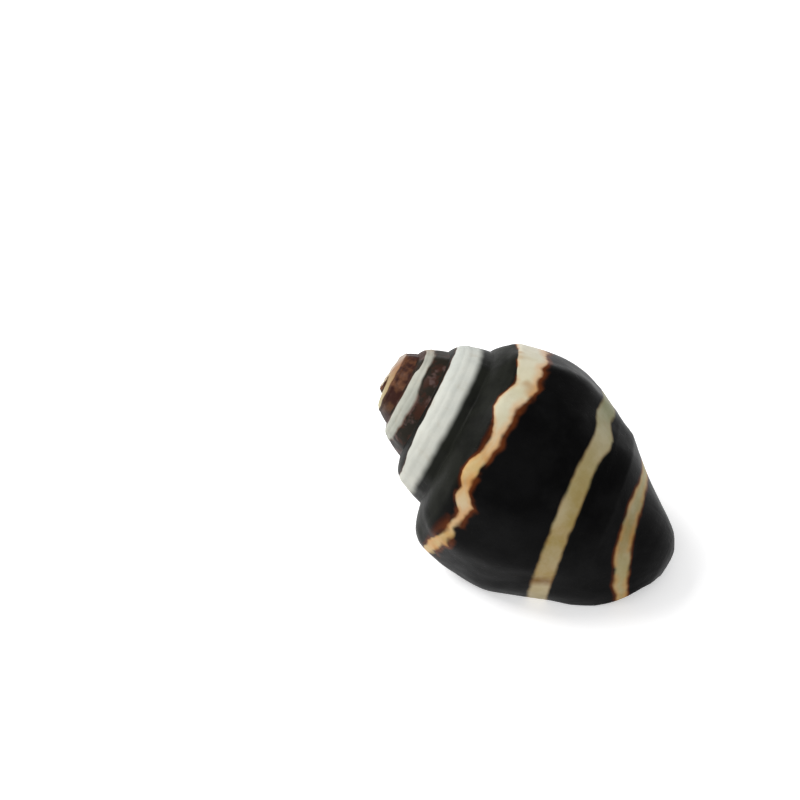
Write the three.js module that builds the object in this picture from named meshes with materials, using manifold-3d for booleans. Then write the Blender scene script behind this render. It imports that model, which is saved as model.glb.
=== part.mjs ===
// A small banded sea snail shell lying mouth down, in millimetres, +Z up.
//
// The shell is one closed body: the coiled outside, the rim of the mouth, and the hollow that winds
// inwards from the mouth. Both skins follow one growth rule. A section is drawn at the lip as radius
// from the coiling axis and height below the point where the spire would end if it were not blunt.
// Each earlier section is that one made smaller by a fixed ratio for every turn of the coil.
import * as THREE from 'three';
import { mergeVertices } from 'three/addons/utils/BufferGeometryUtils.js';
import Module from 'manifold-3d';

const wasm = await Module();
wasm.setup();

// Growth
const AXIAL_GROWTH = 1.46; // height ratio from one turn to the next
const RADIAL_GROWTH = 1.45; // radius ratio from one turn to the next
const TURNS = 4.35; // turns from the blunt tip to the lip
const TIP_TURNS = 0.35; // turns over which the coil opens out from the tip
const TIP_HEIGHT = 1.85; // height of the blunt tip

// Pose at rest, mouth down
const AXIS_PITCH = 25.5; // degrees that the spire end of the axis is raised
const LIP_ANGLE = 49; // degrees from straight down to the lip, round the axis
const REST_TRIM = 0.08; // depth worn off where the shell touches the ground
const GROUND_SIZE = 40; // side of the block that wears it

// Mouth
const LIP_BULGE = 0.2; // how far the rounded rim stands forward of the lip section
const LIP_SWEEP = 34; // degrees that the front of the lip lies behind its middle
const NOTCH_SWEEP = 16; // further degrees that the siphon notch is cut back
const SWEEP_START = 3; // outline point where the lip starts to fall back
const NOTCH_START = 8.8; // outline points between which the notch deepens
const NOTCH_FULL = 10.8;
const FRONT_EASE = 11.4; // outline point from which both end at the front tip
const SETBACK_TURNS = 0.8; // turns over which both grow
const HOLLOW_TURNS = 1.3; // depth of the hollow
const HOLLOW_END = 0.12; // turns over which its inner end closes
const HOLLOW_TIP = 0.01; // turns that its last point lies beyond its last section

// Facets
const STEPS = 30; // sections in a turn
const FINE = 2; // facets between two outline points
const RIM_STEPS = 3; // facets round the rim

// Outside outline at the lip, from the suture to the front tip:
// radius, height, then how strongly each follows the growth ratio.
const SUTURE = 0;
const ATTACH = 4; // the point that the next turn covers from
const LEAN_SPAN = 3; // points from the suture over which a turn leans on the one before
const OUTSIDE = [
  [4.17, 6.37, 1, 1],
  [5.05, 6.72, 1.05, 1],
  [5.55, 7.15, 1.1, 1],
  [5.84, 7.75, 1.1, 1],
  [6.05, 9.3, 1, 1],
  [5.95, 11.1, 0.8, 1],
  [5.38, 12.6, 0.5, 1],
  [4.85, 13.95, 0.45, 0.96],
  [4.55, 15.06, 0.7, 0.9],
  [4.12, 16.1, 1.7, 0.74],
  [3.55, 17.0, 3.6, 0.36],
  [2.55, 17.5, 4.1, 0.18],
  [1.2, 17.68, 4.3, 0.06],
  [0, 17.7, 4.3, 0],
];
const FRONT = OUTSIDE.length - 1;

// Hollow outline at the lip: down the inside of the outer wall, then up the pillar and the turn before.
const HOLLOW = [
  [4.7, 7.3, 1, 1],
  [4.92, 7.4, 1, 1],
  [5.14, 7.62, 1, 1],
  [5.32, 8.05, 1, 1],
  [5.46, 9.35, 1, 1],
  [5.34, 11.0, 0.9, 1],
  [4.84, 12.4, 0.78, 1],
  [4.32, 13.7, 0.8, 0.97],
  [4.0, 14.8, 1, 0.95],
  [3.58, 15.75, 1.4, 0.89],
  [2.95, 16.5, 1.6, 0.87],
  [2.25, 16.88, 1.6, 0.84],
  [1.65, 16.95, 1.5, 0.81],
  [1.25, 16.65, 1.35, 0.78],
  [1.15, 16.1, 1.35, 0.74],
  [1.08, 15.5, 1.45, 0.75],
  [1.38, 14.6, 1.45, 0.75],
  [2.55, 12.3, 1.5, 0.76],
  [3.74, 10.85, 0.95, 0.92],
  [4.3, 9.75, 0.95, 0.98],
  [4.62, 8.75, 1, 1],
  [4.6, 7.95, 1, 1],
];

// Size of the coil at a number of turns, 0 at the lip and negative before it.
function growthAt(turn) {
  const opening = 1 - Math.exp(-Math.max(turn + TURNS, 0) / TIP_TURNS);
  return { radial: RADIAL_GROWTH ** turn * opening, axial: AXIAL_GROWTH ** turn, opening };
}

// Catmull-Rom through the points of an outline, each already shrunk to its turn.
function outlinePoint(outline, at, turn, closed) {
  const { radial, axial, opening } = growthAt(turn);
  const count = outline.length;
  const start = Math.min(Math.floor(at), closed ? count - 1 : count - 2);
  const f = at - start;
  const pick = (index, column) => {
    if (closed) return outline[(index + count) % count][column];
    if (index < 0) return 2 * outline[0][column] - outline[1][column];
    if (index >= count) return 2 * outline[count - 1][column] - outline[count - 2][column];
    return outline[index][column];
  };
  const smooth = (column) => {
    const [a, b, c, d] = [-1, 0, 1, 2].map((step) => pick(start + step, column));
    return 0.5 * (2 * b + (c - a) * f + (2 * a - 5 * b + 4 * c - d) * f ** 2
      + (3 * b - a - 3 * c + d) * f ** 3);
  };
  const straight = (column) => pick(start, column) * (1 - f) + pick(start + 1, column) * f;
  const belowTip = Math.max(smooth(1) * axial ** straight(3) - TIP_HEIGHT, 0);
  return {
    radius: smooth(0) * radial ** straight(2),
    height: TIP_HEIGHT + belowTip * opening,
  };
}

// A point of the outside; near the suture it leans on the turn before.
function outsidePoint(at, turn) {
  const point = outlinePoint(OUTSIDE, at, turn, false);
  const lean = Math.max(1 - at / LEAN_SPAN, 0) ** 2;
  const suture = OUTSIDE[ATTACH][0] * growthAt(turn - 1).radial;
  point.radius += lean * (suture - OUTSIDE[SUTURE][0] * growthAt(turn).radial);
  return point;
}

// How far the lip lies behind its section at an outline point, in turns.
function lipSetback(at) {
  const sweep = LIP_SWEEP * THREE.MathUtils.smoothstep(at, SWEEP_START, FRONT);
  const notch = NOTCH_SWEEP * THREE.MathUtils.smoothstep(at, NOTCH_START, NOTCH_FULL);
  return ((sweep + notch) * (1 - THREE.MathUtils.smoothstep(at, FRONT_EASE, FRONT))) / 360;
}

// The setback grows over the last turn.
function withSetback(at, turn) {
  return turn - lipSetback(at) * THREE.MathUtils.smoothstep(turn, -SETBACK_TURNS, 0);
}

// Outline coordinates to the pose at rest: the spire points to -X and up, the lip lies on the -Y side.
const pitch = THREE.MathUtils.degToRad(AXIS_PITCH);
const frontwards = new THREE.Vector3(Math.cos(pitch), 0, -Math.sin(pitch));
const upwards = new THREE.Vector3(Math.sin(pitch), 0, Math.cos(pitch));
const lipwards = new THREE.Vector3(0, -1, 0);
function place({ radius, height }, turn) {
  const angle = THREE.MathUtils.degToRad(180 - LIP_ANGLE) + 2 * Math.PI * turn;
  return new THREE.Vector3()
    .addScaledVector(frontwards, height)
    .addScaledVector(upwards, radius * Math.cos(angle))
    .addScaledVector(lipwards, radius * Math.sin(angle));
}

// Vertices and faces of the one closed skin
const positions = [];
const faces = [];
function vertex(point) {
  positions.push(point.x, point.y, point.z);
  return positions.length / 3 - 1;
}
function face(a, b, c) {
  if (a !== b && b !== c && c !== a) faces.push(a, b, c);
}
function strip(before, after, closed = false) {
  const count = Math.min(before.length, after.length);
  for (let j = 0; j < (closed ? count : count - 1); j += 1) {
    const k = (j + 1) % count;
    face(before[j], after[j], before[k]);
    face(after[j], after[k], before[k]);
  }
}

// Outside: full sections on the last turn, and down to the attachment point on the turns before.
// The whole first section is one point, the tip, and so is the inner edge of the first turn.
const firstRow = -Math.floor(TURNS * STEPS);
const attachColumn = ATTACH * FINE;
const frontColumn = FRONT * FINE;
const rows = new Map();
const tip = vertex(place({ radius: 0, height: TIP_HEIGHT }, 0));
const frontTip = vertex(place(outsidePoint(FRONT, 0), 0));
for (let row = firstRow; row <= 0; row += 1) {
  const turn = row / STEPS;
  const columns = [];
  const last = row < -STEPS ? attachColumn : frontColumn;
  for (let column = 0; column <= last; column += 1) {
    const turnBefore = rows.get(row - STEPS);
    if (row === firstRow || (column === 0 && !turnBefore)) {
      columns.push(tip);
    } else if (column === 0) {
      columns.push(turnBefore[attachColumn]);
    } else if (column === frontColumn) {
      columns.push(frontTip);
    } else {
      const at = column / FINE;
      const shifted = withSetback(at, turn);
      columns.push(vertex(place(outsidePoint(at, shifted), shifted)));
    }
  }
  rows.set(row, columns);
}
for (let row = firstRow; row < 0; row += 1) {
  strip(rows.get(row), rows.get(row + 1));
}

// Mouth: the outer edge runs down the lip section and back up the turn before.
const loopStations = [];
for (let column = 0; column <= frontColumn; column += 1) {
  loopStations.push({ out: column / FINE, hollow: column / FINE, before: false });
}
for (let column = frontColumn - 1; column > attachColumn; column -= 1) {
  loopStations.push({ out: column / FINE, hollow: (2 * frontColumn - column) / FINE, before: true });
}
const mouthEdge = loopStations.map(({ out, before }) => (
  rows.get(before ? -STEPS : 0)[out * FINE]
));

// A station of the hollow's section; the outer wall's part is set back with the lip.
function hollowPoint({ hollow, before }, turn) {
  const shifted = before ? turn : withSetback(hollow, turn);
  return { section: outlinePoint(HOLLOW, hollow, shifted, true), turn: shifted };
}
let loop = mouthEdge;
for (let step = 1; step < RIM_STEPS; step += 1) {
  const swing = (Math.PI * step) / RIM_STEPS;
  const inwards = (1 - Math.cos(swing)) / 2;
  const next = loopStations.map((station) => {
    const outer = outsidePoint(station.out, station.before ? -1 : withSetback(station.out, 0));
    const inner = hollowPoint(station, 0);
    const radius = THREE.MathUtils.lerp(outer.radius, inner.section.radius, inwards);
    const height = THREE.MathUtils.lerp(outer.height, inner.section.height, inwards);
    const forward = (LIP_BULGE * Math.sin(swing)) / (2 * Math.PI * Math.max(radius, 1));
    return vertex(place({ radius, height }, inner.turn + forward));
  });
  strip(loop, next, true);
  loop = next;
}

// Hollow: from the mouth inwards, closing at its inner end.
const hollowRows = Math.round(HOLLOW_TURNS * STEPS);
for (let row = 0; row < hollowRows; row += 1) {
  const turn = -row / STEPS;
  const open = Math.min((HOLLOW_TURNS + turn) / HOLLOW_END, 1);
  const size = Math.sqrt(1 - (1 - open) ** 2);
  const section = loopStations.map((station) => hollowPoint(station, turn));
  const centre = { radius: 0, height: 0 };
  section.forEach(({ section: { radius, height } }) => {
    centre.radius += radius / section.length;
    centre.height += height / section.length;
  });
  const next = section.map(({ section: point, turn: shifted }) => vertex(place({
    radius: THREE.MathUtils.lerp(centre.radius, point.radius, size),
    height: THREE.MathUtils.lerp(centre.height, point.height, size),
  }, shifted)));
  strip(loop, next, true);
  loop = next;
  if (row === hollowRows - 1) {
    const end = vertex(place(centre, turn - HOLLOW_TIP));
    loop.forEach((here, j) => faces.push(here, end, loop[(j + 1) % loop.length]));
  }
}

const skin = new THREE.BufferGeometry();
skin.setAttribute('position', new THREE.Float32BufferAttribute(positions, 3));
skin.setIndex(faces);

function toSolid(geometry) {
  return new wasm.Manifold(new wasm.Mesh({
    numProp: 3,
    vertProperties: new Float32Array(geometry.attributes.position.array),
    triVerts: new Uint32Array(geometry.index.array),
  }));
}

function toGeometry(solid) {
  const mesh = solid.getMesh();
  const geometry = new THREE.BufferGeometry();
  geometry.setAttribute('position', new THREE.BufferAttribute(mesh.vertProperties, 3));
  geometry.setIndex(new THREE.BufferAttribute(mesh.triVerts, 1));
  return geometry;
}

// The lowest spots are worn flat, all on one level.
skin.computeBoundingBox();
const lowest = skin.boundingBox.min.z;
const ground = mergeVertices(new THREE.BoxGeometry(GROUND_SIZE, GROUND_SIZE, GROUND_SIZE)
  .deleteAttribute('normal').deleteAttribute('uv'));
const middle = skin.boundingBox.getCenter(new THREE.Vector3());
ground.translate(middle.x, middle.y, lowest + REST_TRIM - GROUND_SIZE / 2);
const shellGeometry = toGeometry(toSolid(skin).subtract(toSolid(ground)));

// The origin is the centre of the bounding box's base.
shellGeometry.computeBoundingBox();
const box = shellGeometry.boundingBox;
shellGeometry.translate(-(box.min.x + box.max.x) / 2, -(box.min.y + box.max.y) / 2, -box.min.z);

const shell = new THREE.Mesh(shellGeometry, new THREE.MeshStandardMaterial({
  color: 0x16151a, roughness: 0.35, metalness: 0,
}));
shell.name = 'shell';

const turbanShell = new THREE.Group();
turbanShell.add(shell);

export default turbanShell;
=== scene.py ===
"""A small banded sea snail shell lying mouth down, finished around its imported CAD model.

The shell is one piece. A flat pattern sheet carries, at each of its points, the place of that point on
the section at the lip and the turn that it belongs to. A Geometry Nodes tree coils the sheet by the
shell's growth rule and raises its relief. One finish paints the bands that follow the coil.
Lengths are millimetres, angles degrees and the coil is counted in turns, 0 at the lip.
"""
import logging
import math
from dataclasses import dataclass, field
from enum import Enum
from typing import Any

import bpy
import numpy as np
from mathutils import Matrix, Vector


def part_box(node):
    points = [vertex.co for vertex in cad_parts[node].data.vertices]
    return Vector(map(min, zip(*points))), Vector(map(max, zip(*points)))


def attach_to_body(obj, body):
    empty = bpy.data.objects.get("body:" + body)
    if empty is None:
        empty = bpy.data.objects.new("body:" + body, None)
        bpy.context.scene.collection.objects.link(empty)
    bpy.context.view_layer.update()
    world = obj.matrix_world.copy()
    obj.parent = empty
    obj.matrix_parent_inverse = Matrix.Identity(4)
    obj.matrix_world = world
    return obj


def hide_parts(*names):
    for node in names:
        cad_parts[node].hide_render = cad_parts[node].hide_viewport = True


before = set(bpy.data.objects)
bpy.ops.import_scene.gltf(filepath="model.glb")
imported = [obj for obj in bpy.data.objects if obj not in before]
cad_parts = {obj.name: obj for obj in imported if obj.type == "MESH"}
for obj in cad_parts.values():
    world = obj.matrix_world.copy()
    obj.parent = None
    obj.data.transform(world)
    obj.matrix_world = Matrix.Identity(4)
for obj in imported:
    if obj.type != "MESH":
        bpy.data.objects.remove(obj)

MM = 0.001
Colour = tuple[float, float, float]
Span = tuple[float, float]
Points = tuple[Span, ...]
Stops = tuple[tuple[float, Colour], ...]
Socket = bpy.types.NodeSocket
Feed = Any  # a node's output socket, or a plain value

log = logging.getLogger("shell")


class Mark(Enum):
    """The values that each point of the pattern sheet carries."""

    TURN = "turn"
    LIP_TURN = "lip_turn"
    STATION = "station"
    SKIN = "skin"
    RADIUS = "lip_radius"
    HEIGHT = "lip_height"
    RADIAL_RATE = "radial_rate"
    AXIAL_RATE = "axial_rate"
    LEAN = "lean"


class Paint(Enum):
    """The values that each face corner carries for the finish, which may differ across a suture."""

    TURN = "paint_turn"
    STATION = "paint_station"


@dataclass(frozen=True)
class Grain:
    """Soft patches of noise: features per metre, finer layers, and the noise at which they fade in."""

    scale: float
    detail: float
    rough: float
    span: Span


class TreeMaker:
    """Adds nodes to one tree and joins them."""

    def __init__(self, tree: bpy.types.NodeTree) -> None:
        """Keep the geometry or shader tree to add to."""
        self.tree = tree

    def feed(self, socket: Socket, value: Feed) -> None:
        """Join a socket to another, or set it to a plain value.

        Args:
            socket: The input to feed.
            value: The other socket, or the value.
        """
        if isinstance(value, Socket):
            self.tree.links.new(value, socket)
        else:
            socket.default_value = value

    def node(self, kind: str, feeds: dict[Any, Feed] | None = None, **settings: Any) -> bpy.types.Node:
        """Add a node.

        Args:
            kind: The node's type name.
            feeds: What goes into its inputs, by name or number.
            **settings: The node's own properties.

        Returns:
            The new node.
        """
        made = self.tree.nodes.new(kind)
        for name, value in settings.items():
            setattr(made, name, value)
        for key, value in (feeds or {}).items():
            self.feed(made.inputs[key], value)
        return made

    def math(self, operation: str, *terms: Feed) -> Socket:
        """Add a number operation and return its result."""
        return self.node("ShaderNodeMath", dict(enumerate(terms)), operation=operation).outputs[0]

    def minus(self, first: Feed, second: Feed) -> Socket:
        """Take the second number from the first."""
        return self.math("SUBTRACT", first, second)

    def total(self, *terms: Feed) -> Socket:
        """Add up two or more numbers.

        Args:
            *terms: The numbers.

        Returns:
            Their sum.
        """
        result = terms[0]
        for term in terms[1:]:
            result = self.math("ADD", result, term)
        return result

    def product(self, *terms: Feed) -> Socket:
        """Multiply two or more numbers.

        Args:
            *terms: The numbers.

        Returns:
            Their product.
        """
        result = terms[0]
        for term in terms[1:]:
            result = self.math("MULTIPLY", result, term)
        return result

    def fade(self, value: Feed, start: float, end: float) -> Socket:
        """Make a smooth step.

        Args:
            value: The number that the step follows.
            start: The number at which it is 0.
            end: The number at which it is 1, which may be the lower one.

        Returns:
            The step, of 0 to 1.
        """
        made = self.node(
            "ShaderNodeMapRange", {"Value": value, "From Min": start, "From Max": end},
            interpolation_type="SMOOTHSTEP", clamp=True,
        )
        return made.outputs[0]

    def remap(self, value: Feed, low: float, high: float) -> Socket:
        """Return a value of 0 to 1 stretched to run from low to high."""
        made = self.node("ShaderNodeMapRange", {"Value": value, "To Min": low, "To Max": high})
        return made.outputs[0]

    def vector(self, x: Feed, y: Feed, z: Feed = 0.0) -> Socket:
        """Return a vector made of three numbers."""
        return self.node("ShaderNodeCombineXYZ", {0: x, 1: y, 2: z}).outputs[0]

    def scaled(self, vector: Feed, amount: Feed) -> Socket:
        """Return a vector made longer or shorter."""
        return self.node("ShaderNodeVectorMath", {0: vector, "Scale": amount}, operation="SCALE").outputs[0]

    def noise(self, place: Feed, scale: float, detail: float = 3.0, rough: float = 0.55) -> Socket:
        """Make soft noise.

        Args:
            place: The vector that it is read at.
            scale: How many features fit in one unit of that vector.
            detail: Number of finer layers.
            rough: Strength of the finer layers.

        Returns:
            The noise, of 0 to 1, with its middle at 0.5.
        """
        made = self.node("ShaderNodeTexNoise", {
            "Vector": place, "Scale": scale, "Detail": detail, "Roughness": rough,
        })
        return made.outputs[0]

    def patches(self, place: Feed, grain: Grain) -> Socket:
        """Return a mask of soft patches."""
        return self.fade(self.noise(place, grain.scale, grain.detail, grain.rough), *grain.span)

    def share(self, value: Feed, low: float, high: float) -> Socket:
        """Return how far a value has come from low to high, as a share of that way."""
        return self.math("DIVIDE", self.minus(value, low), high - low)

    def curve(self, value: Feed, points: Points, top: float) -> Socket:
        """Draw a smooth curve through some points.

        Args:
            value: The number that runs along the curve.
            points: Pairs of that number and the curve's height there, from end to end.
            top: A height that no point passes.

        Returns:
            The curve's height at the value.
        """
        low, high = points[0][0], points[-1][0]
        made = self.node("ShaderNodeFloatCurve", {"Value": self.share(value, low, high)})
        line = made.mapping.curves[0]
        places = [((at - low) / (high - low), height / top) for at, height in points]
        line.points[0].location, line.points[1].location = places[0], places[-1]
        for place in places[1:-1]:
            line.points.new(*place)
        for point in line.points:
            point.handle_type = "AUTO_CLAMPED"
        made.mapping.update()
        return self.math("MULTIPLY", made.outputs[0], top)

    def surface(self, feeds: dict[str, Feed]) -> None:
        """Add a surface shader and send it to the output."""
        shader = self.node("ShaderNodeBsdfPrincipled", feeds)
        self.node("ShaderNodeOutputMaterial", {"Surface": shader.outputs[0]})

    def blend(self, amount: Feed, first: Feed, second: Feed) -> Socket:
        """Mix two colours.

        Args:
            amount: 0 for the first colour and 1 for the second.
            first: The first colour.
            second: The second colour.

        Returns:
            The mixed colour.
        """
        made = self.node("ShaderNodeMix", data_type="RGBA")
        self.feed(made.inputs[0], amount)
        for socket, value in ((made.inputs[6], first), (made.inputs[7], second)):
            self.feed(socket, (*value, 1.0) if isinstance(value, tuple) else value)
        return made.outputs[2]

    def colours(self, value: Feed, stops: Stops) -> Socket:
        """Make a colour that changes along a value.

        Args:
            value: The number that the colour follows.
            stops: Pairs of that number and the colour there, from end to end.

        Returns:
            The colour at the value.
        """
        low, high = stops[0][0], stops[-1][0]
        made = self.node("ShaderNodeValToRGB", {0: self.share(value, low, high)})
        ramp = made.color_ramp
        while len(ramp.elements) < len(stops):
            ramp.elements.new(1.0)
        for element, (at, colour) in zip(ramp.elements, stops):
            element.position = (at - low) / (high - low)
            element.color = (*colour, 1.0)
        return made.outputs[0]


def linked(name: str, data: bpy.types.ID) -> bpy.types.Object:
    """Make an object and put it in the scene.

    Args:
        name: The object's name.
        data: Its mesh, light or camera.

    Returns:
        The new object.
    """
    made = bpy.data.objects.new(name, data)
    bpy.context.scene.collection.objects.link(made)
    return made


def blank_material(name: str) -> tuple[bpy.types.Material, TreeMaker]:
    """Make an empty material.

    Args:
        name: The material's name.

    Returns:
        The material, and a maker for its tree.
    """
    material = bpy.data.materials.new(name)
    material.use_nodes = True
    material.node_tree.nodes.clear()
    return material, TreeMaker(material.node_tree)


@dataclass(frozen=True)
class Outline:
    """A section at the lip: radius, height, and how strongly each follows the growth ratio."""

    knots: tuple[tuple[float, float, float, float], ...]
    closed: bool = False

    def at(self, stations: np.ndarray) -> np.ndarray:
        """Read the outline at some stations.

        Args:
            stations: Places along the outline, counted in knots.

        Returns:
            One row for each station, with a knot's four values.
        """
        knots = np.array(self.knots)
        count = len(knots)
        if self.closed:
            start = np.minimum(np.floor(stations), count - 1).astype(int)
            around = [knots[(start + step) % count] for step in (-1, 0, 1, 2)]
        else:
            start = np.minimum(np.floor(stations), count - 2).astype(int)
            ends = np.vstack([2 * knots[0] - knots[1], knots, 2 * knots[-1] - knots[-2]])
            around = [ends[start + step] for step in (0, 1, 2, 3)]
        a, b, c, d = around
        f = (stations - start)[:, None]
        smooth = 0.5 * (2 * b + (c - a) * f + (2 * a - 5 * b + 4 * c - d) * f ** 2
                        + (3 * b - a - 3 * c + d) * f ** 3)
        straight = b * (1 - f) + c * f
        return np.hstack([smooth[:, :2], straight[:, 2:]])


OUTSIDE = Outline((
    (4.17, 6.37, 1, 1),
    (5.05, 6.72, 1.05, 1),
    (5.55, 7.15, 1.1, 1),
    (5.84, 7.75, 1.1, 1),
    (6.05, 9.3, 1, 1),
    (5.95, 11.1, 0.8, 1),
    (5.38, 12.6, 0.5, 1),
    (4.85, 13.95, 0.45, 0.96),
    (4.55, 15.06, 0.7, 0.9),
    (4.12, 16.1, 1.7, 0.74),
    (3.55, 17.0, 3.6, 0.36),
    (2.55, 17.5, 4.1, 0.18),
    (1.2, 17.68, 4.3, 0.06),
    (0, 17.7, 4.3, 0),
))
HOLLOW = Outline((
    (4.7, 7.3, 1, 1),
    (4.92, 7.4, 1, 1),
    (5.14, 7.62, 1, 1),
    (5.32, 8.05, 1, 1),
    (5.46, 9.35, 1, 1),
    (5.34, 11.0, 0.9, 1),
    (4.84, 12.4, 0.78, 1),
    (4.32, 13.7, 0.8, 0.97),
    (4.0, 14.8, 1, 0.95),
    (3.58, 15.75, 1.4, 0.89),
    (2.95, 16.5, 1.6, 0.87),
    (2.25, 16.88, 1.6, 0.84),
    (1.65, 16.95, 1.5, 0.81),
    (1.25, 16.65, 1.35, 0.78),
    (1.15, 16.1, 1.35, 0.74),
    (1.08, 15.5, 1.45, 0.75),
    (1.38, 14.6, 1.45, 0.75),
    (2.55, 12.3, 1.5, 0.76),
    (3.74, 10.85, 0.95, 0.92),
    (4.3, 9.75, 0.95, 0.98),
    (4.62, 8.75, 1, 1),
    (4.6, 7.95, 1, 1),
), closed=True)
FRONT = len(OUTSIDE.knots) - 1
ATTACH = 4  # the station that the next turn covers from


def smooth_step(value: Any, start: float, end: float) -> Any:
    """Return 0 before start, 1 after end, and a smooth rise between."""
    f = np.clip((value - start) / (end - start), 0.0, 1.0)
    return f * f * (3 - 2 * f)


@dataclass(frozen=True)
class GrowthRule:
    """How the coil grows from the tip to the lip."""

    axial_growth: float = 1.46
    radial_growth: float = 1.45
    turns: float = 4.35
    tip_turns: float = 0.35
    tip_height: float = 1.85

    def radial(self, turn: Any) -> Any:
        """Return the radius at a turn against the radius at the lip."""
        opening = 1 - np.exp(-np.maximum(turn + self.turns, 0) / self.tip_turns)
        return self.radial_growth ** turn * opening

    def grown(self, section: np.ndarray, turn: Any) -> tuple[np.ndarray, np.ndarray]:
        """Return the radii and heights of a section's points at their turns."""
        radius, height, radial_rate, axial_rate = section.T
        return radius * self.radial(turn) ** radial_rate, height * self.axial_growth ** (turn * axial_rate)


@dataclass(frozen=True)
class LipShape:
    """How the lip falls back towards the front, and its rounded rim."""

    bulge: float = 0.2
    sweep: float = 34.0
    notch_sweep: float = 16.0
    sweep_start: float = 3.0
    notch_start: float = 8.8
    notch_full: float = 10.8
    front_ease: float = 11.4
    setback_turns: float = 0.8

    def setback(self, station: np.ndarray) -> np.ndarray:
        """Work out how the lip falls back.

        Args:
            station: Places along the outline.

        Returns:
            How many turns the lip lies behind its section there.
        """
        sweep = self.sweep * smooth_step(station, self.sweep_start, FRONT)
        notch = self.notch_sweep * smooth_step(station, self.notch_start, self.notch_full)
        return (sweep + notch) * (1 - smooth_step(station, self.front_ease, FRONT)) / 360

    def shifted(self, station: np.ndarray, turn: float) -> np.ndarray:
        """Return the turns of a section's stations, which bend back over the last turn."""
        return turn - self.setback(station) * smooth_step(turn, -self.setback_turns, 0)


@dataclass(frozen=True)
class Row:
    """A row of points, with the turn and station that the finish reads along it."""

    points: np.ndarray
    turn: np.ndarray
    station: np.ndarray


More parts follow.
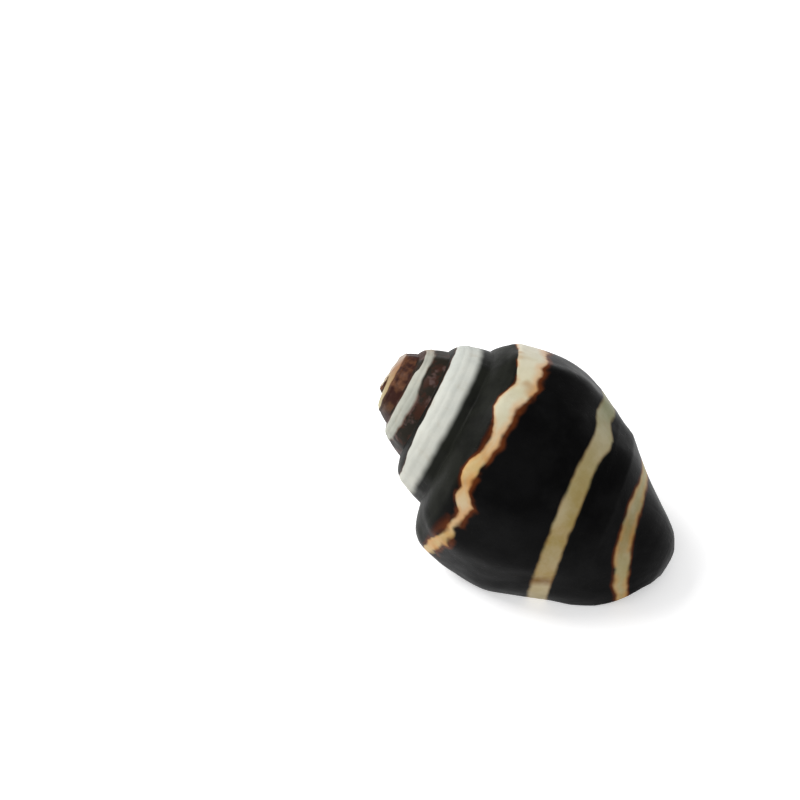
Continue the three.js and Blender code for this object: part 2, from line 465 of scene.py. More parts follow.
@dataclass
class PatternSheet:
    """The flat sheet that is coiled into the shell: outside, rim and hollow in one closed skin."""

    rule: GrowthRule
    lip: LipShape
    steps: int = 180
    fine: int = 14
    rim_steps: int = 6
    hollow_steps: int = 45
    hollow_turns: float = 1.3
    hollow_end: float = 0.12
    hollow_tip: float = 0.01
    lean_span: float = 3.0
    columns: list[np.ndarray] = field(default_factory=list)
    faces: list[np.ndarray] = field(default_factory=list)
    paints: list[np.ndarray] = field(default_factory=list)
    count: int = 0

    def add(self, turn: Any, lip_turn: float, station: Any, skin: float, section: np.ndarray,
            lean: Any = 0.0) -> np.ndarray:
        """Add a row of points.

        Args:
            turn: The turn of each point.
            lip_turn: The turn at which the lip stood along this row.
            station: The station of each point.
            skin: 0 on the outside and 1 in the hollow.
            section: Radius, height and both rates of each point at the lip.
            lean: How much each point leans on the turn before.

        Returns:
            The numbers of the new points.
        """
        size = len(section)
        rows = [np.broadcast_to(np.asarray(value, float), (size,))
                for value in (turn, lip_turn, station, skin, *section.T, lean)]
        self.columns.append(np.array(rows))
        first, self.count = self.count, self.count + size
        return np.arange(first, self.count)

    def strip(self, before: Row, after: Row, closed: bool = False) -> None:
        """Join two rows of points with triangles.

        Args:
            before: The first row.
            after: The row on its far side.
            closed: Whether the rows are rings.
        """
        count = min(len(before.points), len(after.points))
        here = np.arange(count if closed else count - 1)
        there = (here + 1) % count
        for corners in (((before, here), (after, here), (before, there)),
                        ((after, here), (after, there), (before, there))):
            self.faces.append(np.stack([row.points[at] for row, at in corners], axis=1))
            paint = [np.stack([row.turn[at], row.station[at]], axis=1) for row, at in corners]
            self.paints.append(np.stack(paint, axis=1))

    def lean(self, station: np.ndarray) -> np.ndarray:
        """Return how much stations near the suture lean on the turn before."""
        return np.maximum(1 - station / self.lean_span, 0) ** 2

    def outside(self) -> dict[int, Row]:
        """Add the outside, full on the last turn and down to the attachment on the turns before.

        Returns:
            The rows by number, 0 at the lip.
        """
        first_row = -int(self.rule.turns * self.steps)
        attach, front = ATTACH * self.fine, FRONT * self.fine
        first_turn = first_row / self.steps
        tip = self.add(first_turn, first_turn, 0.0, 0.0, np.array([[0, self.rule.tip_height, 0, 0]]))[0]
        front_tip = self.add(0.0, 0.0, float(FRONT), 0.0, OUTSIDE.at(np.array([float(FRONT)])))[0]
        rows: dict[int, Row] = {}
        for number in range(first_row, 1):
            last = attach if number < -self.steps else front
            station = np.arange(last + 1) / self.fine
            lip_turn = number / self.steps
            turn = self.lip.shifted(station, lip_turn)
            row = Row(np.full(last + 1, tip), np.full(last + 1, lip_turn), station)
            if number > first_row:
                before = rows.get(number - self.steps)
                own = slice(1, last + (last == attach))
                row.points[0] = tip if before is None else before.points[attach]
                row.points[-1] = front_tip
                row.points[own] = self.add(
                    turn[own], lip_turn, station[own], 0.0, OUTSIDE.at(station[own]),
                    self.lean(station[own]),
                )
                self.strip(rows[number - 1], row)
            rows[number] = row
        return rows

    def mouth_stations(self) -> tuple[np.ndarray, np.ndarray, np.ndarray]:
        """List the stations round the mouth.

        Returns:
            The outside's station, the hollow's station, and whether each lies on the turn before.
        """
        attach, front = ATTACH * self.fine, FRONT * self.fine
        down, up = np.arange(front + 1), np.arange(front - 1, attach, -1)
        out = np.concatenate([down, up]) / self.fine
        hollow = np.concatenate([down, 2 * front - up]) / self.fine
        return out, hollow, np.arange(len(out)) > front

    def hollow_row(self, turn: float) -> tuple[np.ndarray, np.ndarray]:
        """Return the turns and the section of the hollow's ring at a turn."""
        _, hollow, before = self.mouth_stations()
        return np.where(before, turn, self.lip.shifted(hollow, turn)), HOLLOW.at(hollow)

    def rim(self, rows: dict[int, Row]) -> Row:
        """Add the rounded rim between the outside and the hollow.

        Args:
            rows: The outside's rows.

        Returns:
            The last ring of the rim.
        """
        out, hollow, before = self.mouth_stations()
        picked = np.rint(out * self.fine).astype(int)
        edge = np.where(before, rows[-self.steps].points[picked], rows[0].points[picked])
        outer_turn = np.where(before, -1.0, self.lip.shifted(out, 0.0))
        suture = OUTSIDE.knots[ATTACH][0] * self.rule.radial(outer_turn - 1)
        outer_radius, outer_height = self.rule.grown(OUTSIDE.at(out), outer_turn)
        outer_radius += self.lean(out) * (suture - OUTSIDE.knots[0][0] * self.rule.radial(outer_turn))
        inner_turn, inner = self.hollow_row(0.0)
        inner_radius, inner_height = self.rule.grown(inner, inner_turn)
        at_lip = np.zeros_like(hollow)
        ring = Row(edge, at_lip, hollow)
        for step in range(1, self.rim_steps):
            swing = math.pi * step / self.rim_steps
            inwards = (1 - math.cos(swing)) / 2
            radius = outer_radius + (inner_radius - outer_radius) * inwards
            height = outer_height + (inner_height - outer_height) * inwards
            forward = self.lip.bulge * math.sin(swing) / (2 * math.pi * np.maximum(radius, 1))
            fixed = np.zeros_like(radius)
            section = np.stack([radius, height, fixed, fixed], axis=1)
            after = Row(self.add(inner_turn + forward, 0.0, hollow, inwards, section), at_lip, hollow)
            self.strip(ring, after, closed=True)
            ring = after
        return ring

    def hollow(self, ring: Row) -> None:
        """Add the hollow, from the rim's last ring inwards to its closed end.

        Args:
            ring: The rim's last ring.
        """
        _, station, _ = self.mouth_stations()
        for row in range(round(self.hollow_turns * self.hollow_steps)):
            turn = -row / self.hollow_steps
            turns, section = self.hollow_row(turn)
            open_share = min((self.hollow_turns + turn) / self.hollow_end, 1.0)
            size = math.sqrt(1 - (1 - open_share) ** 2)
            middle = section.mean(axis=0)
            points = self.add(turns, turn, station, 1.0, middle + (section - middle) * size)
            after = Row(points, np.full(len(station), turn), station)
            self.strip(ring, after, closed=True)
            ring = after
        end = self.add(turn - self.hollow_tip, turn, 0.0, 1.0, middle[None])
        self.strip(ring, Row(np.full(len(station), end[0]), ring.turn, station), closed=True)

    def build(self, name: str) -> bpy.types.Object:
        """Make the sheet.

        Args:
            name: The new object's name.

        Returns:
            The flat sheet, laid out by turn and station.
        """
        self.hollow(self.rim(self.outside()))
        values = np.hstack(self.columns)
        faces, paints = np.vstack(self.faces), np.vstack(self.paints)
        a, b, c = faces.T
        whole = (a != b) & (b != c) & (c != a)
        faces, paints = faces[whole], paints[whole].reshape(-1, 2)
        mesh = bpy.data.meshes.new(name)
        flat = np.stack([values[0], values[1], values[2]], axis=1) * MM
        mesh.from_pydata(flat.tolist(), [], faces.tolist())
        for mark, row in zip(Mark, values):
            layer = mesh.attributes.new(mark.value, "FLOAT", "POINT")
            layer.data.foreach_set("value", row.astype(np.float32))
        for paint, column in zip(Paint, paints.T):
            layer = mesh.attributes.new(paint.value, "FLOAT", "CORNER")
            layer.data.foreach_set("value", np.ascontiguousarray(column, np.float32))
        return linked(name, mesh)


@dataclass(frozen=True)
class Relief:
    """What stands proud of the smooth coil, at the lip's size.

    Each span is the two places between which a part of the relief fades in, in stations or in turns.
    """

    ribs: float = 10.0
    rib_height: float = 0.16
    rib_slant: float = 0.05
    rib_bend: float = 0.06
    rib_drift: float = 0.16
    drift_pace: float = 4.0
    rib_swell: Span = (0.2, 1.3)
    swell_pace: float = 7.0
    rib_sharpness: float = 1.4
    rib_level: float = 0.45
    rib_rise: Span = (0.2, 2.4)
    rib_fall: Span = (10.5, 4.0)
    cord_height: float = 0.0007
    cords: float = 3.0
    cord_rise: Span = (1.0, 3.0)
    growth_depth: float = 0.022
    growth_pace: float = 26.0
    waviness: float = 0.09
    wave_scale: float = 420.0
    slope: float = 0.18
    slope_rise: Span = (0.2, 1.4)
    slope_fall: Span = (4.6, 3.0)
    slope_start: Span = (-0.12, -0.4)
    slope_end: Span = (-0.95, -0.65)
    suture_rise: Span = (0.0, 0.5)
    front_fall: Span = (13.0, 11.5)
    seed: float = 4.0


@dataclass(frozen=True)
class CoilFeeds:
    """What the coil tree's parts share: its maker, inputs, the sheet's values and the coil's size."""

    maker: TreeMaker
    given: Any
    marks: dict[Mark, Feed]
    growth: dict[str, Feed]


@dataclass
class CoilTree:
    """The Geometry Nodes tree that coils the pattern sheet and raises its relief."""

    rule: GrowthRule
    relief: Relief
    pitch: float = 25.5
    lip_angle: float = 49.0
    name: str = "coil"

    def sizes(self) -> dict[str, float]:
        """List the tree's number inputs.

        Returns:
            Their values by name.
        """
        rule, relief = self.rule, self.relief
        return {
            "Radial Growth": rule.radial_growth,
            "Axial Growth": rule.axial_growth,
            "Turns": rule.turns,
            "Tip Turns": rule.tip_turns,
            "Tip Height": rule.tip_height,
            "Attach Radius": OUTSIDE.knots[ATTACH][0],
            "Suture Radius": OUTSIDE.knots[0][0],
            "Pitch": math.radians(self.pitch),
            "Lip Direction": math.radians(180 - self.lip_angle),
            "Ribs Per Turn": relief.ribs,
            "Rib Height": relief.rib_height,
            "Rib Slant": relief.rib_slant,
            "Cords Per Station": relief.cords,
            "Cord Height": relief.cord_height,
            "Growth Line Depth": relief.growth_depth,
            "Waviness": relief.waviness,
            "Slope": relief.slope,
            "Noise Seed": relief.seed,
            "Relief": 0.0,
        }

    def build(self, material: bpy.types.Material) -> bpy.types.NodeTree:
        """Make the tree.

        Args:
            material: The finish that the tree sets.

        Returns:
            The tree, with its inputs named.
        """
        tree = bpy.data.node_groups.new(self.name, "GeometryNodeTree")
        face = tree.interface
        face.new_socket(name="Geometry", in_out="INPUT", socket_type="NodeSocketGeometry")
        for name in self.sizes():
            face.new_socket(name=name, in_out="INPUT", socket_type="NodeSocketFloat")
        face.new_socket(name="Place", in_out="INPUT", socket_type="NodeSocketVector")
        face.new_socket(name="Geometry", in_out="OUTPUT", socket_type="NodeSocketGeometry")
        maker = TreeMaker(tree)
        given = maker.node("NodeGroupInput").outputs
        marks = {mark: self.mark(maker, mark) for mark in Mark}
        feeds = CoilFeeds(maker, given, marks, self.growth(maker, given, marks[Mark.TURN]))
        coiled = maker.node("GeometryNodeSetPosition", {
            "Geometry": given["Geometry"],
            "Position": self.coil(feeds),
        })
        normal = maker.node("GeometryNodeInputNormal").outputs[0]
        height = maker.product(self.height(feeds), given["Relief"], MM)
        raised = maker.node("GeometryNodeSetPosition", {
            "Geometry": coiled.outputs[0],
            "Offset": maker.scaled(normal, height),
        })
        rested = maker.node("GeometryNodeSetPosition", {
            "Geometry": raised.outputs[0], "Position": self.worn_flat(maker),
        })
        smooth = maker.node("GeometryNodeSetShadeSmooth", {"Geometry": rested.outputs[0]})
        real = maker.node("GeometryNodeRealizeInstances", {"Geometry": smooth.outputs[0]})
        dressed = maker.node("GeometryNodeSetMaterial", {
            "Geometry": real.outputs[0], "Material": material,
        })
        maker.node("NodeGroupOutput", {"Geometry": dressed.outputs[0]})
        return tree

    def mark(self, maker: TreeMaker, mark: Mark) -> Socket:
        """Return one of the sheet's values."""
        made = maker.node("GeometryNodeInputNamedAttribute", {"Name": mark.value}, data_type="FLOAT")
        return made.outputs["Attribute"]

    def growth(self, maker: TreeMaker, given: Any, turn: Feed) -> dict[str, Socket]:
        """Work out the size of the coil at a turn.

        Args:
            maker: Adds the nodes.
            given: The tree's inputs.
            turn: The turn of each point.

        Returns:
            The radial and axial ratios and how far the coil has opened.
        """
        since = maker.math("MAXIMUM", maker.math("ADD", turn, given["Turns"]), 0.0)
        left = maker.math("EXPONENT", maker.product(maker.math("DIVIDE", since, given["Tip Turns"]), -1.0))
        opening = maker.minus(1.0, left)
        radial = maker.product(maker.math("POWER", given["Radial Growth"], turn), opening)
        axial = maker.math("POWER", given["Axial Growth"], turn)
        return {"radial": radial, "axial": axial, "opening": opening}

    def coil(self, feeds: CoilFeeds) -> Socket:
        """Coil the sheet.

        Args:
            feeds: What the tree's parts share.

        Returns:
            Each point's place on the coil, in metres.
        """
        maker, given, marks, growth = feeds.maker, feeds.given, feeds.marks, feeds.growth
        before = self.growth(maker, given, maker.minus(marks[Mark.TURN], 1.0))
        suture = maker.minus(maker.product(given["Attach Radius"], before["radial"]),
                             maker.product(given["Suture Radius"], growth["radial"]))
        grown = maker.math("POWER", growth["radial"], marks[Mark.RADIAL_RATE])
        radius = maker.total(maker.product(marks[Mark.RADIUS], grown),
                             maker.product(marks[Mark.LEAN], suture))
        deep = maker.math("POWER", growth["axial"], marks[Mark.AXIAL_RATE])
        below = maker.minus(maker.product(marks[Mark.HEIGHT], deep), given["Tip Height"])
        below = maker.product(maker.math("MAXIMUM", below, 0.0), growth["opening"])
        angle = maker.total(maker.product(marks[Mark.TURN], 2 * math.pi), given["Lip Direction"])
        upright = maker.vector(
            maker.total(given["Tip Height"], below),
            maker.product(radius, maker.math("SINE", angle), -1.0),
            maker.product(radius, maker.math("COSINE", angle)),
        )
        pitched = maker.node("ShaderNodeVectorRotate", {"Vector": upright, "Angle": given["Pitch"]},
                             rotation_type="Y_AXIS").outputs[0]
        return maker.node("ShaderNodeVectorMath", {0: maker.scaled(pitched, MM), 1: given["Place"]},
                          operation="ADD").outputs[0]

    def height(self, feeds: CoilFeeds) -> Socket:
        """Raise the ribs, threads, growth lines and slope.

        Args:
            feeds: What the tree's parts share.

        Returns:
            How far each point stands proud of the smooth coil, in millimetres.
        """
        maker, given, marks, relief = feeds.maker, feeds.given, feeds.marks, self.relief
        turn, station = marks[Mark.LIP_TURN], marks[Mark.STATION]
        seed = given["Noise Seed"]
        place = maker.node("GeometryNodeInputPosition").outputs[0]
        broad = maker.minus(maker.noise(place, relief.wave_scale, 2.0), 0.5)
        slow = maker.vector(maker.product(turn, relief.drift_pace), 0.0, seed)
        slanted = maker.total(turn, maker.product(station, given["Rib Slant"], 0.1),
                              maker.product(broad, relief.rib_bend),
                              maker.product(maker.noise(slow, 1.0, 2.0, 0.5), relief.rib_drift))
        wave = maker.math("COSINE", maker.product(slanted, given["Ribs Per Turn"], 2 * math.pi))
        ridge = maker.math("POWER", maker.total(maker.product(wave, 0.5), 0.5), relief.rib_sharpness)
        crest = maker.minus(ridge, relief.rib_level)
        span = maker.product(maker.fade(station, *relief.rib_rise), maker.fade(station, *relief.rib_fall))
        uneven_ribs = maker.vector(maker.product(turn, relief.swell_pace), 5.0, seed)
        swell = maker.remap(maker.noise(uneven_ribs, 1.0), *relief.rib_swell)
        ribs = maker.product(crest, span, swell, given["Rib Height"])
        slope = maker.product(
            maker.fade(station, *relief.slope_rise), maker.fade(station, *relief.slope_fall),
            maker.fade(turn, *relief.slope_start), maker.fade(turn, *relief.slope_end), given["Slope"],
        )
        thread = maker.math("COSINE", maker.product(station, given["Cords Per Station"], 2 * math.pi))
        cords = maker.product(thread, given["Cord Height"], maker.fade(station, *relief.cord_rise))
        along = maker.vector(maker.product(turn, relief.growth_pace), maker.product(station, 0.5), seed)
        lines = maker.product(maker.minus(maker.noise(along, 1.0, 4.0, 0.6), 0.5),
                              given["Growth Line Depth"], 2.0)
        uneven = maker.product(broad, given["Waviness"])
        outside = maker.minus(1.0, marks[Mark.SKIN])
        ends = maker.product(maker.fade(station, *relief.suture_rise),
                             maker.fade(station, *relief.front_fall))
        raised = maker.minus(maker.total(ribs, cords, lines, uneven), slope)
        return maker.product(raised, outside, ends, feeds.growth["axial"])

    def worn_flat(self, maker: TreeMaker) -> Socket:
        """Wear off flat what would lie below the ground.

        Args:
            maker: Adds the nodes.

        Returns:
            Each point's place, in metres.
        """
        place = maker.node("GeometryNodeInputPosition").outputs[0]
        x, y, z = maker.node("ShaderNodeSeparateXYZ", {0: place}).outputs[:3]
        return maker.vector(x, y, maker.math("MAXIMUM", z, 0.0))


@dataclass(frozen=True)
class Band:
    """A pale band along the coil, with its edges as pairs of turn and station.

    Its margins are burnt brown. Their width is in stations, and wide_margins multiplies it by turn on
    the spire side. The edges stray by the raggedness, and blur over the softness.
    """

    spire_edge: Points
    front_edge: Points
    colours: Stops
    margin: float
    burnt: float
    ragged: float
    softness: float
    wide_margins: Points = ((-4.4, 1.0), (0.05, 1.0))


WIDEST = 2.0  # the largest value that a band's margins may be multiplied by
SHOULDER = Band(
    spire_edge=(
        (-4.4, 0.0), (-3.2, 0.0), (-3.0, 0.2), (-2.55, 0.6), (-2.42, 1.25), (-2.34, 1.2),
        (-2.3, 0.4), (-2.2, 0.35), (-2.1, 0.5), (-1.6, 1.0), (-1.45, 0.75), (-1.4, 0.4), (-1.2, 0.6),
        (-1.12, 1.2), (-1.05, 1.8), (-0.8, 1.9), (-0.6, 2.3), (-0.47, 2.05), (-0.4, 2.3),
        (-0.35, 2.85), (-0.33, 2.5), (-0.3, 2.1), (-0.283, 2.3), (-0.27, 3.05), (-0.235, 3.03),
        (-0.2, 2.42), (-0.186, 2.6), (-0.177, 2.96), (-0.166, 3.06), (-0.154, 2.88), (-0.145, 3.3),
        (-0.115, 3.38), (-0.08, 3.15), (-0.04, 3.0), (0.05, 3.0),
    ),
    front_edge=(
        (-4.4, 2.8), (-3.47, 2.6), (-3.35, 1.9), (-3.2, 1.7), (-3.05, 2.3), (-2.9, 2.7), (-2.45, 2.9),
        (-2.3, 2.75), (-2.2, 3.05), (-2.0, 2.95), (-1.5, 3.45), (-1.0, 3.5), (-0.6, 3.75), (-0.35, 3.62),
        (-0.3, 3.42), (-0.25, 3.38), (-0.2, 3.2), (-0.177, 3.3), (-0.167, 3.4), (-0.155, 3.72),
        (-0.146, 3.56), (-0.1, 3.55), (-0.04, 3.33), (0.05, 3.2),
    ),
    colours=(
        (-4.3, (0.36, 0.29, 0.17)),
        (-3.45, (0.3, 0.24, 0.2)),
        (-3.33, (0.22, 0.1, 0.04)),
        (-3.2, (0.28, 0.19, 0.09)),
        (-3.05, (0.36, 0.32, 0.19)),
        (-2.5, (0.26, 0.21, 0.16)),
        (-2.4, (0.29, 0.29, 0.25)),
        (-2.25, (0.34, 0.345, 0.3)),
        (-2.0, (0.29, 0.3, 0.26)),
        (-1.5, (0.43, 0.45, 0.42)),
        (-1.1, (0.45, 0.455, 0.41)),
        (-0.5, (0.54, 0.52, 0.44)),
        (-0.36, (0.5, 0.46, 0.31)),
        (-0.3, (0.48, 0.46, 0.33)),
        (-0.2, (0.46, 0.31, 0.11)),
        (-0.15, (0.48, 0.37, 0.22)),
        (-0.1, (0.43, 0.28, 0.1)),
        (0.0, (0.52, 0.36, 0.16)),
    ),
    margin=0.36, burnt=1.0, ragged=0.15, softness=0.08,
    wide_margins=(
        (-4.4, 0.8), (-0.3, 0.7), (-0.27, 1.7), (-0.24, 1.8), (-0.215, 0.9), (-0.19, 1.6), (-0.17, 1.5),
        (-0.15, 0.8), (-0.12, 1.7), (-0.08, 1.7), (-0.03, 0.8), (0.05, 0.8),
    ),
)
MIDDLE = Band(
    spire_edge=(
        (-4.4, 6.1), (-0.6, 6.1), (-0.45, 6.05), (-0.38, 5.88), (-0.34, 6.04), (-0.28, 5.93), (-0.2, 6.0),
        (-0.1, 6.2), (0.05, 6.4),
    ),
    front_edge=(
        (-4.4, 6.75), (-0.6, 6.7), (-0.45, 6.75), (-0.385, 6.58), (-0.345, 6.86), (-0.29, 6.58),
        (-0.2, 6.64), (-0.1, 6.85), (0.05, 7.0),
    ),
    colours=(
        (-4.3, (0.25, 0.24, 0.14)),
        (-0.6, (0.25, 0.24, 0.14)),
        (-0.4, (0.22, 0.225, 0.12)),
        (-0.34, (0.36, 0.31, 0.17)),
        (-0.25, (0.31, 0.24, 0.09)),
        (-0.1, (0.25, 0.18, 0.055)),
        (-0.07, (0.27, 0.18, 0.055)),
        (-0.066, (0.12, 0.05, 0.015)),
        (-0.062, (0.12, 0.05, 0.015)),
        (-0.059, (0.38, 0.31, 0.18)),
        (0.0, (0.36, 0.3, 0.17)),
    ),
    margin=0.1, burnt=0.2, ragged=0.06, softness=0.09,
)
LOWER = Band(
    spire_edge=(
        (-4.4, 8.7), (-0.5, 8.7), (-0.35, 8.72), (-0.25, 8.6), (-0.15, 8.8), (-0.1, 9.1), (0.05, 9.85),
    ),
    front_edge=(
        (-4.4, 9.15), (-0.5, 9.1), (-0.3, 9.08), (-0.2, 9.13), (-0.15, 9.31), (-0.1, 9.5), (0.05, 10.14),
    ),
    colours=(
        (-4.3, (0.34, 0.3, 0.16)),
        (-0.35, (0.34, 0.31, 0.15)),
        (-0.25, (0.25, 0.21, 0.09)),
        (-0.18, (0.25, 0.185, 0.07)),
        (-0.12, (0.27, 0.23, 0.1)),
        (0.0, (0.33, 0.26, 0.11)),
    ),
    margin=0.17, burnt=0.8, ragged=0.07, softness=0.07,
)


@dataclass(frozen=True)
class Spot:
    """What the finish reads at a spot on the shell; skin is 1 in the hollow, lines is growth noise."""

    place: Feed
    turn: Feed
    station: Feed
    skin: Feed
    lines: Feed


@dataclass(frozen=True)
class BandedFinish:
    """The near-black, semi-gloss shell surface with its pale bands.

    Scales are noise features per metre. Spans are the two turns or stations between which a colour
    fades in.
    """

    bands: tuple[Band, ...] = (SHOULDER, MIDDLE, LOWER)
    black: Colour = (0.0009, 0.0009, 0.001)
    black_light: Colour = (0.0045, 0.0045, 0.0046)
    shoulder_grey: Colour = (0.0098, 0.0105, 0.008)
    spire_brown: Colour = (0.017, 0.014, 0.01)
    spire_pink: Colour = (0.085, 0.052, 0.046)
    maroon: Colour = (0.042, 0.017, 0.011)
    burnt: Colour = (0.09, 0.021, 0.004)
    burnt_dark: Colour = (0.028, 0.006, 0.002)
    stain: Colour = (0.3, 0.14, 0.035)
    tip_brown: Colour = (0.12, 0.05, 0.024)
    tip_maroon: Colour = (0.028, 0.01, 0.008)
    chalk: Colour = (0.8, 0.76, 0.66)
    growth_mark: Colour = (0.28, 0.2, 0.1)
    rim_orange: Colour = (0.5, 0.2, 0.04)
    pillar: Colour = (0.03, 0.02, 0.02)
    shoulder_zone: Span = (3.3, 2.0)
    grey_turns: Span = (-0.85, -1.0)
    brown_turns: Span = (-1.45, -1.95)
    tip_turns: Span = (-2.9, -3.3)
    last_turns: Span = (-1.0, -0.8)
    early_turns: Span = (-1.6, -1.9)
    pillar_zone: Span = (13.2, 14.5)
    clouds: Grain = Grain(330.0, 4.0, 0.6, (0.45, 0.72))
    mottle: Grain = Grain(520.0, 3.0, 0.6, (0.36, 0.62))
    flecks: Grain = Grain(1900.0, 2.0, 0.5, (0.56, 0.7))
    scorches: Grain = Grain(1000.0, 2.0, 0.5, (0.34, 0.54))
    chalking: Grain = Grain(700.0, 4.0, 0.6, (0.3, 0.75))
    stains: Grain = Grain(900.0, 1.0, 0.5, (0.52, 0.8))
    pits: Grain = Grain(5200.0, 3.0, 0.6, (0.42, 0.3))
    blotch_scale: float = 1300.0
    fine_edge_scale: float = 1700.0
    wide_edge_scale: float = 700.0
    gloss_scale: float = 1500.0
    threads: float = 6.0
    growth_pace: float = 30.0
    specular: float = 0.045
    seed: float = 7.0

    def build(self, name: str) -> bpy.types.Material:
        """Make the material.

        Args:
            name: The material's name.

        Returns:
            The finished material.
        """
        material, maker = blank_material(name)
        place = maker.node("ShaderNodeTexCoord").outputs["Object"]
        turn, station, skin = (
            maker.node("ShaderNodeAttribute", attribute_name=mark.value).outputs["Fac"]
            for mark in (Paint.TURN, Paint.STATION, Mark.SKIN)
        )
        along = maker.vector(maker.product(turn, self.growth_pace), maker.product(station, 0.8), self.seed)
        spot = Spot(place, turn, station, skin, maker.noise(along, 1.0, 5.0, 0.65))
        colour = self.ground(maker, spot)
        pale = 0.0
        for band in self.bands:
            colour, mask = self.paint(maker, band, colour, spot)
            pale = maker.math("MAXIMUM", pale, mask)
        maker.surface({
            "Base Color": colour,
            "Roughness": self.roughness(maker, spot, pale),
            "Specular IOR Level": self.specular,
            "Normal": self.bump(maker, spot, pale),
        })
        return material

    def ground(self, maker: TreeMaker, spot: Spot) -> Socket:
        """Paint the dark ground between the bands.

        Args:
            maker: Adds the nodes.
            spot: The spot on the shell.

        Returns:
            Its colour.
        """
        cloud = maker.patches(spot.place, self.clouds)
        base = maker.blend(cloud, self.black, self.black_light)
        spire_side = maker.math("MAXIMUM", maker.fade(spot.station, *self.shoulder_zone),
                                maker.fade(spot.turn, *self.grey_turns))
        streaks = maker.product(maker.fade(spot.lines, 0.15, 0.8), 0.3)
        mottle = maker.product(maker.patches(spot.place, self.mottle), 0.6)
        shoulder = maker.product(spire_side, maker.total(0.35, streaks, mottle))
        base = maker.blend(shoulder, base, self.shoulder_grey)
        blotch = maker.noise(spot.place, self.blotch_scale, 3.0, 0.6)
        fleck = maker.patches(spot.place, self.flecks)
        old = maker.blend(maker.fade(blotch, 0.45, 0.6), self.spire_brown, self.maroon)
        old = maker.blend(fleck, old, self.spire_pink)
        base = maker.blend(maker.product(maker.fade(spot.turn, *self.brown_turns), 0.85), base, old)
        tip = maker.blend(maker.fade(blotch, 0.35, 0.6), self.tip_brown, self.tip_maroon)
        base = maker.blend(maker.fade(spot.turn, *self.tip_turns), base, tip)
        inner = maker.product(maker.fade(spot.station, *self.pillar_zone), spot.skin)
        return maker.blend(inner, base, self.pillar)

    def paint(self, maker: TreeMaker, band: Band, under: Feed,
              spot: Spot) -> tuple[Socket, Socket]:
        """Paint one band and its burnt margins.

        Args:
            maker: Adds the nodes.
            band: The band.
            under: The colour below it.
            spot: The spot on the shell.

        Returns:
            The new colour, and a mask that is 1 on the band.
        """
        spire_side, front_side, last_turn, early = self.sides(maker, band, spot)
        crisp = maker.fade(front_side, -band.softness, band.softness)
        soft = maker.fade(front_side, -2.5 * band.softness, 2.5 * band.softness)
        front_mask = maker.total(maker.product(crisp, last_turn),
                                 maker.product(soft, maker.minus(1.0, last_turn)))
        mask = maker.product(maker.fade(spire_side, -band.softness, band.softness), front_mask)
        inside = maker.math("MINIMUM", spire_side, front_side)
        patches = maker.patches(spot.place, self.scorches)
        width = maker.curve(spot.turn, band.wide_margins, WIDEST)
        spire_scorch = maker.product(
            self.scorch(maker, maker.math("DIVIDE", spire_side, width), band.margin),
            maker.remap(last_turn, 0.4, 1.0),
        )
        front_scorch = maker.product(self.scorch(maker, front_side, 0.7 * band.margin),
                                     maker.total(last_turn, maker.product(early, 0.5)))
        scorch = maker.product(maker.math("MAXIMUM", spire_scorch, front_scorch), patches, band.burnt)
        brown = maker.blend(maker.fade(inside, -band.margin, 0.0), self.burnt_dark, self.burnt)
        colour = maker.blend(scorch, under, brown)
        pale = maker.colours(spot.turn, band.colours)
        cloud = maker.patches(spot.place, self.chalking)
        pale = maker.blend(maker.product(cloud, 0.35), pale, maker.blend(0.5, pale, self.chalk))
        pale = maker.blend(maker.product(maker.fade(spot.lines, 0.5, 0.78), 0.4), pale,
                           maker.blend(0.55, pale, self.growth_mark))
        stain = maker.product(maker.patches(spot.place, self.stains), last_turn, 0.6 * band.burnt)
        pale = maker.blend(stain, pale, self.stain)
        rim = maker.product(maker.fade(inside, 0.7 * band.margin + 0.08, 0.0), patches, last_turn,
                            0.8 * band.burnt)
        pale = maker.blend(rim, pale, maker.blend(0.6, pale, self.rim_orange))
        return maker.blend(mask, colour, pale), mask

    def sides(self, maker: TreeMaker, band: Band, spot: Spot) -> tuple[Socket, ...]:
        """Work out how far each point lies inside a band's two ragged edges.

        Args:
            maker: Adds the nodes.
            band: The band.
            spot: The spot on the shell.

        Returns:
            The distances from the spire side's edge and the front edge, in stations, and masks of the
            last turn and of the early turns.
        """
        fine = maker.minus(maker.noise(spot.place, self.fine_edge_scale, 1.0, 0.4), 0.5)
        wide = maker.minus(maker.noise(spot.place, self.wide_edge_scale, 1.0, 0.5), 0.5)
        shake = maker.product(maker.total(fine, wide), 2 * band.ragged)
        spire = maker.curve(spot.turn, band.spire_edge, FRONT)
        front = maker.curve(spot.turn, band.front_edge, FRONT)
        last_turn, early = maker.fade(spot.turn, *self.last_turns), maker.fade(spot.turn, *self.early_turns)
        calm = maker.product(shake, maker.total(0.3, maker.product(last_turn, 0.7), early))
        spire_side = maker.minus(maker.total(spot.station, shake), spire)
        front_side = maker.minus(front, maker.total(spot.station, calm))
        return spire_side, front_side, last_turn, early

    def scorch(self, maker: TreeMaker, side: Feed, margin: float) -> Socket:
        """Return a mask of the burnt strip along one edge of a band, its margin given in stations."""
        return maker.product(maker.fade(side, -margin, -0.4 * margin), maker.fade(side, 0.3, 0.1))

    def roughness(self, maker: TreeMaker, spot: Spot, pale: Feed) -> Socket:
        """Make the gloss: highest in the mouth and lowest on the pale bands.

        Args:
            maker: Adds the nodes.
            spot: The spot on the shell.
            pale: A mask that is 1 on the bands.

        Returns:
            The roughness.
        """
        cloud = maker.noise(spot.place, self.gloss_scale, 4.0, 0.6)
        outside = maker.total(maker.remap(cloud, 0.3, 0.5), maker.product(pale, 0.08))
        shoulder = maker.product(maker.fade(spot.station, 3.4, 1.5), 0.1)
        mouth = maker.product(spot.skin, -0.16)
        return maker.total(outside, shoulder, mouth)

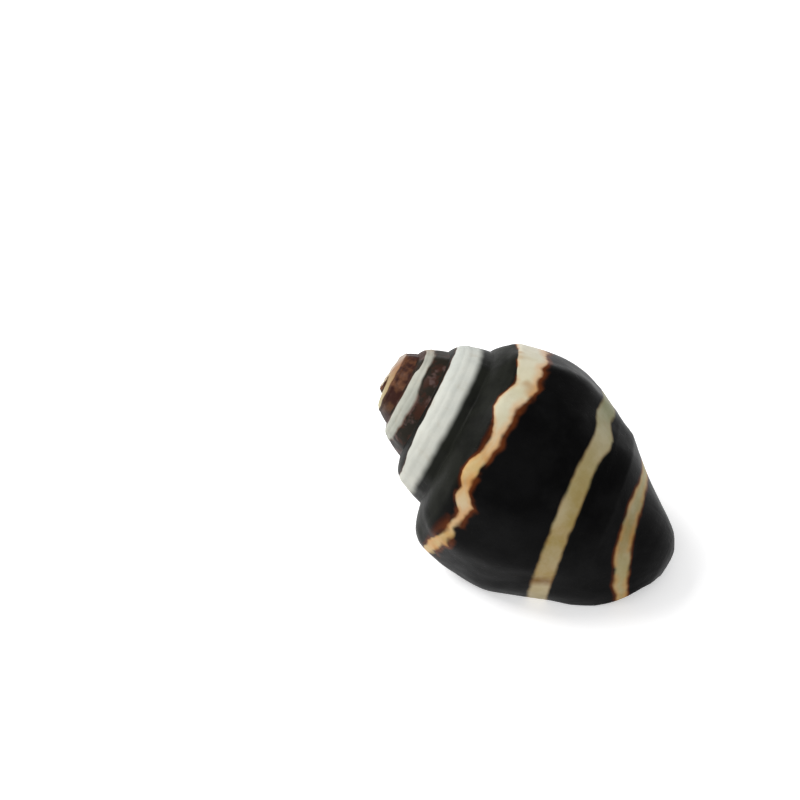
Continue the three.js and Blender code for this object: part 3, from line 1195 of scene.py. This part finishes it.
    def bump(self, maker: TreeMaker, spot: Spot, pale: Feed) -> Socket:
        """Make the fine surface: growth lines, spiral threads and small pits.

        Args:
            maker: Adds the nodes.
            spot: The spot on the shell.
            pale: A mask that is 1 on the bands.

        Returns:
            The bent normal.
        """
        thread = maker.math("SINE", maker.product(spot.station, 2 * math.pi * self.threads))
        pitted = maker.patches(spot.place, self.pits)
        height = maker.total(spot.lines, maker.product(thread, 0.006), maker.product(pitted, -0.25),
                             maker.product(pale, 0.12))
        made = maker.node("ShaderNodeBump", {"Height": height, "Strength": 0.5, "Distance": 0.03 * MM})
        return made.outputs[0]


@dataclass
class SeaShell:
    """The one-piece shell."""

    rule: GrowthRule = field(default_factory=GrowthRule)
    lip: LipShape = field(default_factory=LipShape)
    relief: Relief = field(default_factory=Relief)
    finish: BandedFinish = field(default_factory=BandedFinish)
    name: str = "striped_shell"
    node: str = "shell"

    def coil(self, sheet: bpy.types.Object, tree: bpy.types.NodeTree, sizes: dict[str, float],
             place: Vector) -> bpy.types.Mesh:
        """Run the coil tree on the pattern sheet.

        Args:
            sheet: The pattern sheet.
            tree: The coil tree.
            sizes: The tree's numbers, by input name.
            place: Where the point above the tip goes, in metres.

        Returns:
            The coiled shell as a plain mesh.
        """
        modifier = sheet.modifiers.new("coil", "NODES")
        modifier.node_group = tree
        values = {**sizes, "Place": tuple(place)}
        for item in tree.interface.items_tree:
            if item.in_out == "INPUT" and item.name in values:
                modifier[item.identifier] = values[item.name]
        graph = bpy.context.evaluated_depsgraph_get()
        mesh = bpy.data.meshes.new_from_object(
            sheet.evaluated_get(graph), preserve_all_data_layers=True, depsgraph=graph,
        )
        sheet.modifiers.remove(modifier)
        return mesh

    def resting_place(self, plain: bpy.types.Mesh) -> Vector:
        """Return where the smooth coil goes so that it fills the CAD model's box.

        Args:
            plain: The smooth coil, with its point above the tip at height 1 m.

        Returns:
            The place of the point above the tip, in metres.
        """
        points = np.array([vertex.co for vertex in plain.vertices])
        low, high = points.min(axis=0), points.max(axis=0)
        cad_low, cad_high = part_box(self.node)
        middle = (cad_low + cad_high) / 2
        x, y = middle.x - (low[0] + high[0]) / 2, middle.y - (low[1] + high[1]) / 2
        return Vector((x, y, 1.0 + cad_high.z - high[2]))

    def build(self) -> bpy.types.Object:
        """Make the shell and dress it.

        Returns:
            The finished piece.
        """
        material = self.finish.build("banded shell")
        tree_maker = CoilTree(self.rule, self.relief)
        tree = tree_maker.build(material)
        sheet = PatternSheet(self.rule, self.lip).build("pattern_sheet")
        sizes = tree_maker.sizes()
        plain = self.coil(sheet, tree, sizes, Vector((0.0, 0.0, 1.0)))
        place = self.resting_place(plain)
        bpy.data.meshes.remove(plain)
        mesh = self.coil(sheet, tree, {**sizes, "Relief": 1.0}, place)
        bpy.data.objects.remove(sheet)
        mesh.name = self.name
        piece = linked(self.name, mesh)
        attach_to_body(piece, "root")
        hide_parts(self.node)
        return piece


@dataclass(frozen=True)
class Lamp:
    """A soft square lamp that faces the shell: its place, the side of its face, and its watts."""

    name: str
    place: tuple[float, float, float]
    size: float
    power: float


@dataclass
class Studio:
    """The floor, the soft lights and the camera."""

    floor_size: float = 900.0
    floor_colour: Colour = (0.86, 0.86, 0.865)
    floor_glow: float = 0.42
    sky: float = 0.5
    lamps: tuple[Lamp, ...] = (
        Lamp("key", (-140.0, 5.0, 158.0), 110.0, 0.44),
        Lamp("fill", (60.0, -160.0, 170.0), 160.0, 0.1),
    )
    azimuth: float = 22.6
    elevation: float = 45.0
    distance: float = 300.0
    view_width: float = 37.36
    aim: tuple[float, float, float] = (-6.117, -0.481, 6.79)

    def floor(self) -> None:
        """Lay the pale floor."""
        half = self.floor_size * MM / 2
        mesh = bpy.data.meshes.new("floor")
        points = [(-half, -half, 0), (half, -half, 0), (half, half, 0), (-half, half, 0)]
        mesh.from_pydata(points, [], [(0, 1, 2, 3)])
        material, maker = blank_material("floor")
        maker.surface({
            "Base Color": (*self.floor_colour, 1.0), "Roughness": 0.7, "Specular IOR Level": 0.1,
            "Emission Color": (1.0, 1.0, 1.0, 1.0), "Emission Strength": self.floor_glow,
        })
        mesh.materials.append(material)
        linked("floor", mesh)

    def hang(self, lamp: Lamp) -> None:
        """Hang a lamp.

        Args:
            lamp: Its place, size and power.
        """
        light = bpy.data.lights.new(lamp.name, "AREA")
        light.size, light.energy = lamp.size * MM, lamp.power
        hung = linked(lamp.name, light)
        hung.location = Vector(lamp.place) * MM
        hung.rotation_euler = (-hung.location).to_track_quat("-Z", "Y").to_euler()

    def lights(self) -> None:
        """Hang the lamps and light the sky."""
        for lamp in self.lamps:
            self.hang(lamp)
        world = bpy.data.worlds.new("sky")
        world.use_nodes = True
        world.node_tree.nodes["Background"].inputs["Color"].default_value = (1.0, 1.0, 1.0, 1.0)
        world.node_tree.nodes["Background"].inputs["Strength"].default_value = self.sky
        bpy.context.scene.world = world
        bpy.context.scene.view_settings.view_transform = "Standard"

    def camera(self) -> None:
        """Set the camera."""
        data = bpy.data.cameras.new("camera")
        data.sensor_width = 36.0
        data.lens = data.sensor_width * self.distance / self.view_width
        data.clip_start, data.clip_end = 0.01, 10.0
        around, up = math.radians(self.azimuth), math.radians(self.elevation)
        back = Vector((math.sin(around) * math.cos(up), -math.cos(around) * math.cos(up), math.sin(up)))
        camera = linked("camera", data)
        camera.location = (Vector(self.aim) + back * self.distance) * MM
        camera.rotation_euler = back.to_track_quat("Z", "Y").to_euler()
        bpy.context.scene.camera = camera

    def build(self) -> None:
        """Set up the whole studio."""
        self.floor()
        self.lights()
        self.camera()


def corners(bounds: Any) -> list[list[float]]:
    """Return a box's two corners as plain lists."""
    return [[float(value) for value in corner] for corner in bounds]


def main() -> None:
    """Build the studio and the shell, and log the shell's face count."""
    logging.basicConfig(level=logging.INFO, format="%(name)s: %(message)s")
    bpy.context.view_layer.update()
    Studio().build()
    piece = SeaShell().build()
    log.info("%s: %d faces", piece.name, len(piece.data.polygons))


if __name__ == "__main__":
    main()
